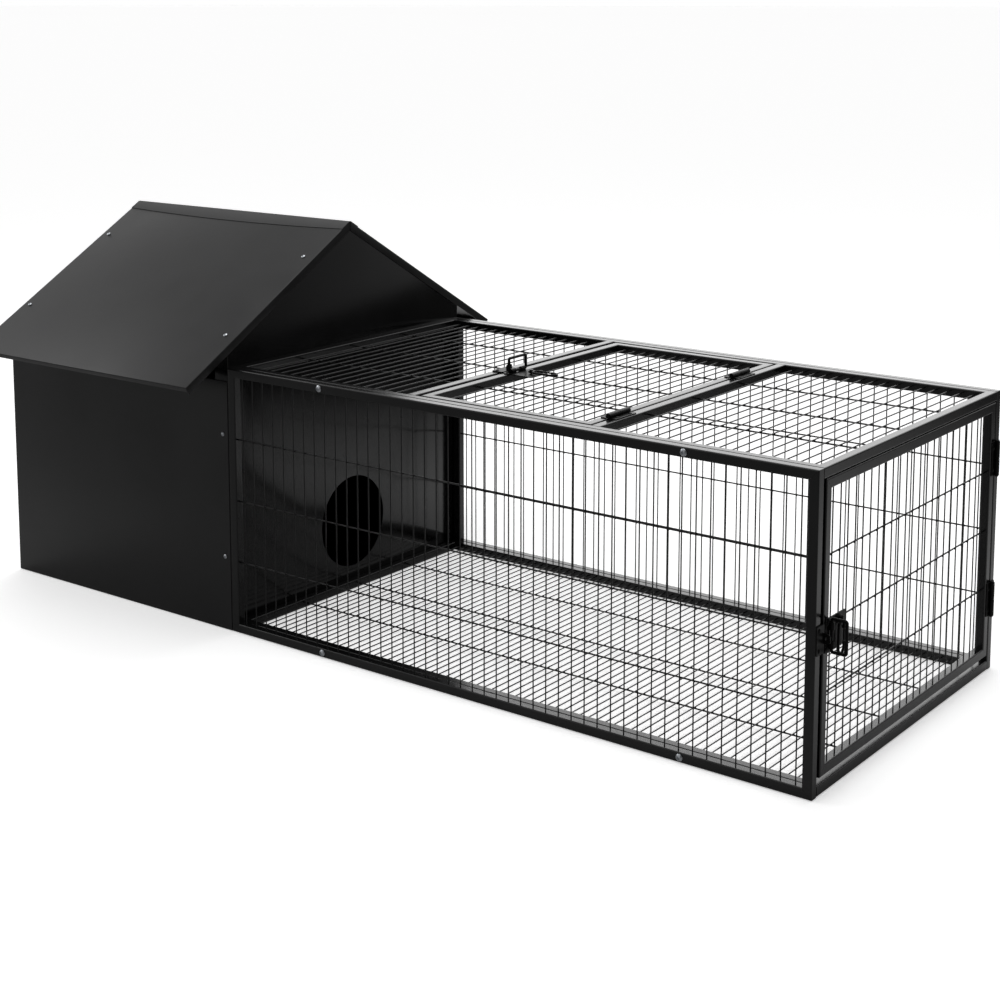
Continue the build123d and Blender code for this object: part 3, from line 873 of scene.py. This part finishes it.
@dataclass
class CrossHeadScrews:
    """Pan-head screws with a cross recess: the clamp bolts and the sheet screws of the house."""

    roof: Roof
    sides: int = 28
    rim_share: float = 0.3
    dome_shares: tuple = (0.9, 0.74, 0.54, 0.3)
    recess_length: float = 1.25
    recess_width: float = 0.36
    recess_depth: float = 0.95
    recess_taper: float = 0.55
    turn_step: float = 0.9

    def head(self, radius: float, height: float, shank: float, length: float) -> bpy.types.Object:
        """Models one screw on the Z axis, its seat at Z = 0.

        Args:
            radius: the head's radius.
            height: the head's height.
            shank: the shank's radius.
            length: the shank's length.

        Returns:
            The screw as a mesh object.
        """
        deselect_all()
        rim = height * self.rim_share
        bpy.ops.mesh.primitive_cylinder_add(
            vertices=self.sides, radius=radius, depth=rim, location=(0, 0, rim / 2)
        )
        obj = bpy.context.object
        bpy.ops.object.transform_apply(location=True)
        dome = (radius**2 + (height - rim) ** 2) / (2 * (height - rim))
        centre = height - dome
        ring, level = radius, rim
        for share in self.dome_shares:
            next_ring = radius * share
            next_level = centre + math.sqrt(dome**2 - next_ring**2)
            edit_faces(obj, lambda c, n, z=level: n.z > 0.9 and close_to(c.z, z, 0.01 * MM))
            bpy.ops.mesh.extrude_region_move(
                TRANSFORM_OT_translate={"value": (0, 0, next_level - level)}
            )
            bpy.ops.transform.resize(value=(next_ring / ring, next_ring / ring, 1))
            bpy.ops.object.mode_set(mode="OBJECT")
            ring, level = next_ring, next_level
        edit_faces(obj, lambda c, n: n.z < -0.9)
        bpy.ops.mesh.inset(thickness=radius - shank)
        bpy.ops.mesh.extrude_region_move(TRANSFORM_OT_translate={"value": (0, 0, -length)})
        bpy.ops.object.mode_set(mode="OBJECT")
        long, narrow = radius * self.recess_length, radius * self.recess_width
        for across, along in ((long, narrow), (narrow, long)):
            bpy.ops.mesh.primitive_cube_add(size=1, location=(0, 0, height))
            cutter = bpy.context.object
            cutter.scale = (across, along, height * self.recess_depth)
            bpy.ops.object.transform_apply(location=True, scale=True)
            edit_faces(cutter, lambda c, n: n.z < -0.9)
            bpy.ops.transform.resize(value=(self.recess_taper, self.recess_taper, 1))
            bpy.ops.object.mode_set(mode="OBJECT")
            apply_modifier(obj, "BOOLEAN", operation="DIFFERENCE", object=cutter, solver="EXACT")
            bpy.data.objects.remove(cutter)
        smooth(obj, 35)
        return obj

    def outward(self, node: str, centre: Vector) -> Vector:
        """Which way a screw's head looks.

        Args:
            node: the CAD node the screw belongs to.
            centre: the middle of its solid.

        Returns:
            The unit vector out of the head.
        """
        side = -1 if centre.y < 0 else 1
        if node in ("roof_screws", "ridge_cap_screws"):
            return Vector((0, side * math.sin(self.roof.pitch), math.cos(self.roof.pitch)))
        return Vector((0, side, 0))

    def build(
        self, frame: dict, node: str, sizes: tuple[float, float, float, float], finishes: Finishes
    ) -> None:
        """Builds every screw of a CAD node.

        Args:
            node: the CAD node.
            sizes: head radius, head height, shank radius and shank length.
            finishes: the cage's finishes.
        """
        radius, height, _, length = sizes
        template = self.head(*sizes)
        places = []
        for low, high in clusters(frame["nodes"][node], 30 * MM):
            middle = (low + high) / 2
            out = self.outward(node, middle)
            turn = Matrix.Rotation(self.turn_step * len(places), 4, "Z")
            seat = middle + out * (length - height) / 2
            places.append(plane_matrix(seat, Vector((1, 0, 0)), out) @ turn)
        obj = copies(template, places, f"{node}_cross_head")
        finish_piece(obj, finishes, "zinc_plated_steel", "cage", [node])


# --- welds --------------------------------------------------------------------------------------------
def levels(values: Iterable[float], gap: float = 3.0 * MM) -> list[float]:
    """Groups nearby coordinates and gives the middle of each group.

    Args:
        values: coordinates along one axis.
        gap: what separates two groups.

    Returns:
        The middles, in order.
    """
    groups: list[list[float]] = []
    for value in sorted(values):
        if groups and value - groups[-1][-1] < gap:
            groups[-1].append(value)
        else:
            groups.append([value])
    return [(group[0] + group[-1]) / 2 for group in groups]


@dataclass
class MeshWelds:
    """Resistance-weld nuggets where the wires of a panel cross."""

    nugget_width: float = 3.3 * MM
    nugget_height: float = 2.2 * MM
    nugget_round: float = 0.7 * MM
    wire_end: float = 0.3 * MM

    def nugget(self, thin_axis: int) -> bpy.types.Object:
        """Models one nugget, squashed between its two wires.

        Args:
            thin_axis: the axis along which one wire lies on the other.

        Returns:
            The nugget as a mesh object of 26 faces.
        """
        deselect_all()
        bpy.ops.mesh.primitive_cube_add(size=self.nugget_width, location=(0, 0, 0))
        obj = bpy.context.object
        squash = [1.0, 1.0, 1.0]
        squash[thin_axis] = self.nugget_height / self.nugget_width
        edit_faces(obj, lambda c, n: True)
        bpy.ops.transform.resize(value=squash)
        bpy.ops.mesh.bevel(offset=self.nugget_round, segments=1)
        bpy.ops.object.mode_set(mode="OBJECT")
        smooth(obj, 180)
        return obj

    def build(self, frame: dict, node: str, run: Run, body: str, finishes: Finishes) -> None:
        """Builds the nuggets of one panel.

        Args:
            node: the CAD node of the panel's wires.
            run: how its wires run.
            body: the CAD body the panel rides on.
            finishes: the cage's finishes.
        """
        close_axis, cross_axis = run.value
        thin_axis = 3 - close_axis - cross_axis
        low, high = box_of(node)
        points = [vertex.co for vertex in frame["nodes"][node].data.vertices]
        ends_close = [p for p in points if close_to(p[close_axis], low[close_axis], self.wire_end)]
        ends_cross = [p for p in points if close_to(p[cross_axis], low[cross_axis], self.wire_end)]
        close_at = levels(p[cross_axis] for p in ends_close)
        cross_at = levels(p[close_axis] for p in ends_cross)
        depth_close = levels(p[thin_axis] for p in ends_close)[0]
        depth_cross = levels(p[thin_axis] for p in ends_cross)[0]
        spot = [0.0, 0.0, 0.0]
        spot[thin_axis] = (depth_close + depth_cross) / 2
        places = []
        for a in close_at:
            for b in cross_at:
                spot[cross_axis], spot[close_axis] = a, b
                places.append(Matrix.Translation(Vector(spot)))
        obj = copies(self.nugget(thin_axis), places, f"{node}_weld_nuggets")
        finish_piece(obj, finishes, "black_coated_wire", body)


# --- studio ---------------------------------------------------------------------------------------------
@dataclass(frozen=True)
class SoftBox:
    """One square soft light: where it stands, what it looks at, its side in metres, its watts."""

    name: str
    place: tuple[float, float, float]
    aim: tuple[float, float, float]
    size: float
    power: float


@dataclass
class Studio:
    """Plain pale floor, soft lights and the camera."""

    soft_boxes: tuple[SoftBox, ...] = (
        SoftBox("overhead_softbox", (0.2, -0.2, 3.4), (0, 0, 0), 3.0, 40),
        SoftBox("left_softbox", (-2.9, -1.2, 2.3), (-0.5, -0.3, 0.45), 1.6, 14),
    )
    sensor_width: float = 36.0
    lens: float = 64.9
    shift_y: float = -0.25
    position: tuple[float, float, float] = (1.84346, -2.35805, 1.04981)
    azimuth: float = 37.13
    elevation: float = 7.87
    floor_colour: str = "#fdfdfd"
    floor_size: float = 600
    floor_drop: float = 1 * MM
    # Where the painted light pool on the floor runs, and its grey levels. Only mirrored and bounced rays see
    # it.
    floor_front: float = -0.8
    floor_back: float = 2.2
    front_shade: float = 0.26
    back_shade: float = 0.85
    back_shade_at: float = 0.45
    far_shade: float = 0.05
    floor_lift: float = 0.46
    room_glow: float = 0.5
    back_glow: float = 1.9
    back_from: float = 0.25
    back_full: float = 0.8
    right_share: float = 0.14
    right_from: float = 0.05
    right_full: float = 0.35

    def build_floor(self) -> None:
        """Adds the pale floor."""
        deselect_all()
        bpy.ops.mesh.primitive_plane_add(size=self.floor_size, location=(0, 0, -self.floor_drop))
        floor = bpy.context.object
        floor.name = "studio_floor"
        floor.data.materials.append(self.floor_shader_with_painted_pool())

    def floor_shader_with_painted_pool(self) -> bpy.types.Material:
        """Matt white floor to the camera. To mirrored and bounced rays it is a painted pool of light:
        brightest a little behind the cage, painted darker at the front and dark at the far back.

        Returns:
            The floor's material.
        """
        material, tree = fresh_material("matt_white_floor_with_painted_light_pool")
        white = add_node(tree, "ShaderNodeBsdfDiffuse", {"Color": linear(self.floor_colour)})
        place = add_node(tree, "ShaderNodeTexCoord").outputs["Object"]
        depth = add_node(tree, "ShaderNodeSeparateXYZ", links={"Vector": place}).outputs["Y"]
        pool = add_node(
            tree,
            "ShaderNodeMapRange",
            {"From Min": self.floor_front, "From Max": self.floor_back, "To Min": 0.0, "To Max": 1.0},
            {"Value": depth},
        ).outputs["Result"]
        # Painted pool of light and shade on the floor, seen only in reflections and bounced light: grey in
        # front, bright behind the cage, dark far back.
        shade = add_node(tree, "ShaderNodeValToRGB", links={"Fac": pool})
        ramp = shade.color_ramp
        ramp.elements[0].color = (self.front_shade, self.front_shade, self.front_shade, 1)
        ramp.elements[1].color = (self.far_shade, self.far_shade, self.far_shade, 1)
        middle = ramp.elements.new(self.back_shade_at)
        middle.color = (self.back_shade, self.back_shade, self.back_shade, 1)
        painted_pool = add_node(tree, "ShaderNodeBsdfDiffuse", links={"Color": shade.outputs["Color"]})
        glow = add_node(tree, "ShaderNodeEmission", {"Strength": self.floor_lift})
        lifted = add_node(
            tree, "ShaderNodeAddShader", links={0: white.outputs["BSDF"], 1: glow.outputs["Emission"]}
        )
        seen = add_node(tree, "ShaderNodeLightPath").outputs["Is Camera Ray"]
        mix = add_node(
            tree,
            "ShaderNodeMixShader",
            links={0: seen, 1: painted_pool.outputs["BSDF"], 2: lifted.outputs["Shader"]},
        )
        add_node(tree, "ShaderNodeOutputMaterial", links={"Surface": mix.outputs["Shader"]})
        return material

    def build_light(self, box: SoftBox) -> None:
        """Adds one square soft light.

        Args:
            box: the light.
        """
        data = bpy.data.lights.new(box.name, "AREA")
        data.shape = "SQUARE"
        data.size = box.size
        data.energy = box.power
        light = bpy.data.objects.new(box.name, data)
        light.location = box.place
        light.rotation_euler = (Vector(box.aim) - Vector(box.place)).to_track_quat("-Z", "Y").to_euler()
        bpy.context.scene.collection.objects.link(light)

    def build_world(self) -> None:
        """Fills the room with pale light, stronger from the back and weaker from the right."""
        world = bpy.data.worlds.new("pale_studio")
        bpy.context.scene.world = world
        world.use_nodes = True
        tree = world.node_tree
        tree.nodes.clear()
        place = add_node(tree, "ShaderNodeTexCoord").outputs["Generated"]
        axes = add_node(tree, "ShaderNodeSeparateXYZ", links={"Vector": place})
        back = add_node(
            tree,
            "ShaderNodeMapRange",
            {
                "From Min": self.back_from,
                "From Max": self.back_full,
                "To Min": self.room_glow,
                "To Max": self.back_glow,
            },
            {"Value": axes.outputs["Y"]},
        ).outputs["Result"]
        right = add_node(
            tree,
            "ShaderNodeMapRange",
            {
                "From Min": self.right_from,
                "From Max": self.right_full,
                "To Min": 1.0,
                "To Max": self.right_share,
            },
            {"Value": axes.outputs["X"]},
        ).outputs["Result"]
        glow = add_node(
            tree, "ShaderNodeMath", {"operation": "MULTIPLY"}, {0: back, 1: right}
        ).outputs["Value"]
        soft = add_node(tree, "ShaderNodeBackground", {"Color": (1, 1, 1, 1)}, {"Strength": glow})
        plain = add_node(tree, "ShaderNodeBackground", {"Color": (1, 1, 1, 1), "Strength": 1.0})
        seen = add_node(tree, "ShaderNodeLightPath").outputs["Is Camera Ray"]
        mix = add_node(
            tree,
            "ShaderNodeMixShader",
            links={0: seen, 1: soft.outputs["Background"], 2: plain.outputs["Background"]},
        )
        add_node(tree, "ShaderNodeOutputWorld", links={"Surface": mix.outputs["Shader"]})

    def build_camera(self) -> None:
        """Adds the camera, about a metre up, for a three-quarter view from the front right."""
        data = bpy.data.cameras.new("studio_camera")
        data.sensor_width = self.sensor_width
        data.lens = self.lens
        data.shift_y = self.shift_y
        camera = bpy.data.objects.new("studio_camera", data)
        turn, rise = math.radians(self.azimuth), math.radians(self.elevation)
        back = Vector(
            (math.sin(turn) * math.cos(rise), -math.cos(turn) * math.cos(rise), math.sin(rise))
        )
        camera.location = self.position
        camera.rotation_euler = (-back).to_track_quat("-Z", "Y").to_euler()
        bpy.context.scene.collection.objects.link(camera)
        bpy.context.scene.camera = camera

    def build(self) -> None:
        """Builds the whole studio."""
        self.build_floor()
        self.build_world()
        for box in self.soft_boxes:
            self.build_light(box)
        self.build_camera()
        bpy.context.scene.view_settings.view_transform = "Standard"


def main() -> None:
    """Builds the cage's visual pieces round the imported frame, then the studio."""
    logging.basicConfig(level=logging.INFO, format="%(name)s: %(message)s")
    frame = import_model()
    finishes = Finishes()
    finishes.build()
    finishes.dress_nodes(frame)

    roof = Roof()
    for side in Side:
        roof.build_sheet(side, finishes)
    roof.build_cap(finishes)
    house = House()
    for side in Side:
        house.build_tray(side, finishes)
    house.build_pan("house_gable_wall", True, True, finishes)
    house.build_pan("house_end_wall", False, False, finishes)

    screws = CrossHeadScrews(roof)
    screws.build(frame, "clamp_screws", CLAMP_SCREW, finishes)
    for node in ("roof_screws", "ridge_cap_screws", "house_panel_screws"):
        screws.build(frame, node, SHEET_SCREW, finishes)

    welds = MeshWelds()
    for node in ("front_panel_wires", "back_panel_wires"):
        welds.build(frame, node, Run.UPRIGHT_ON_SIDE, "cage", finishes)
    for node in ("floor_wires", "top_left_wires", "top_right_wires"):
        welds.build(frame, node, Run.ACROSS_DECK, "cage", finishes)
    welds.build(frame, "door_wires", Run.UPRIGHT_ON_END, "door", finishes)
    welds.build(frame, "lid_wires", Run.ACROSS_DECK, "lid", finishes)

    Studio().build()


if __name__ == "__main__":
    main()
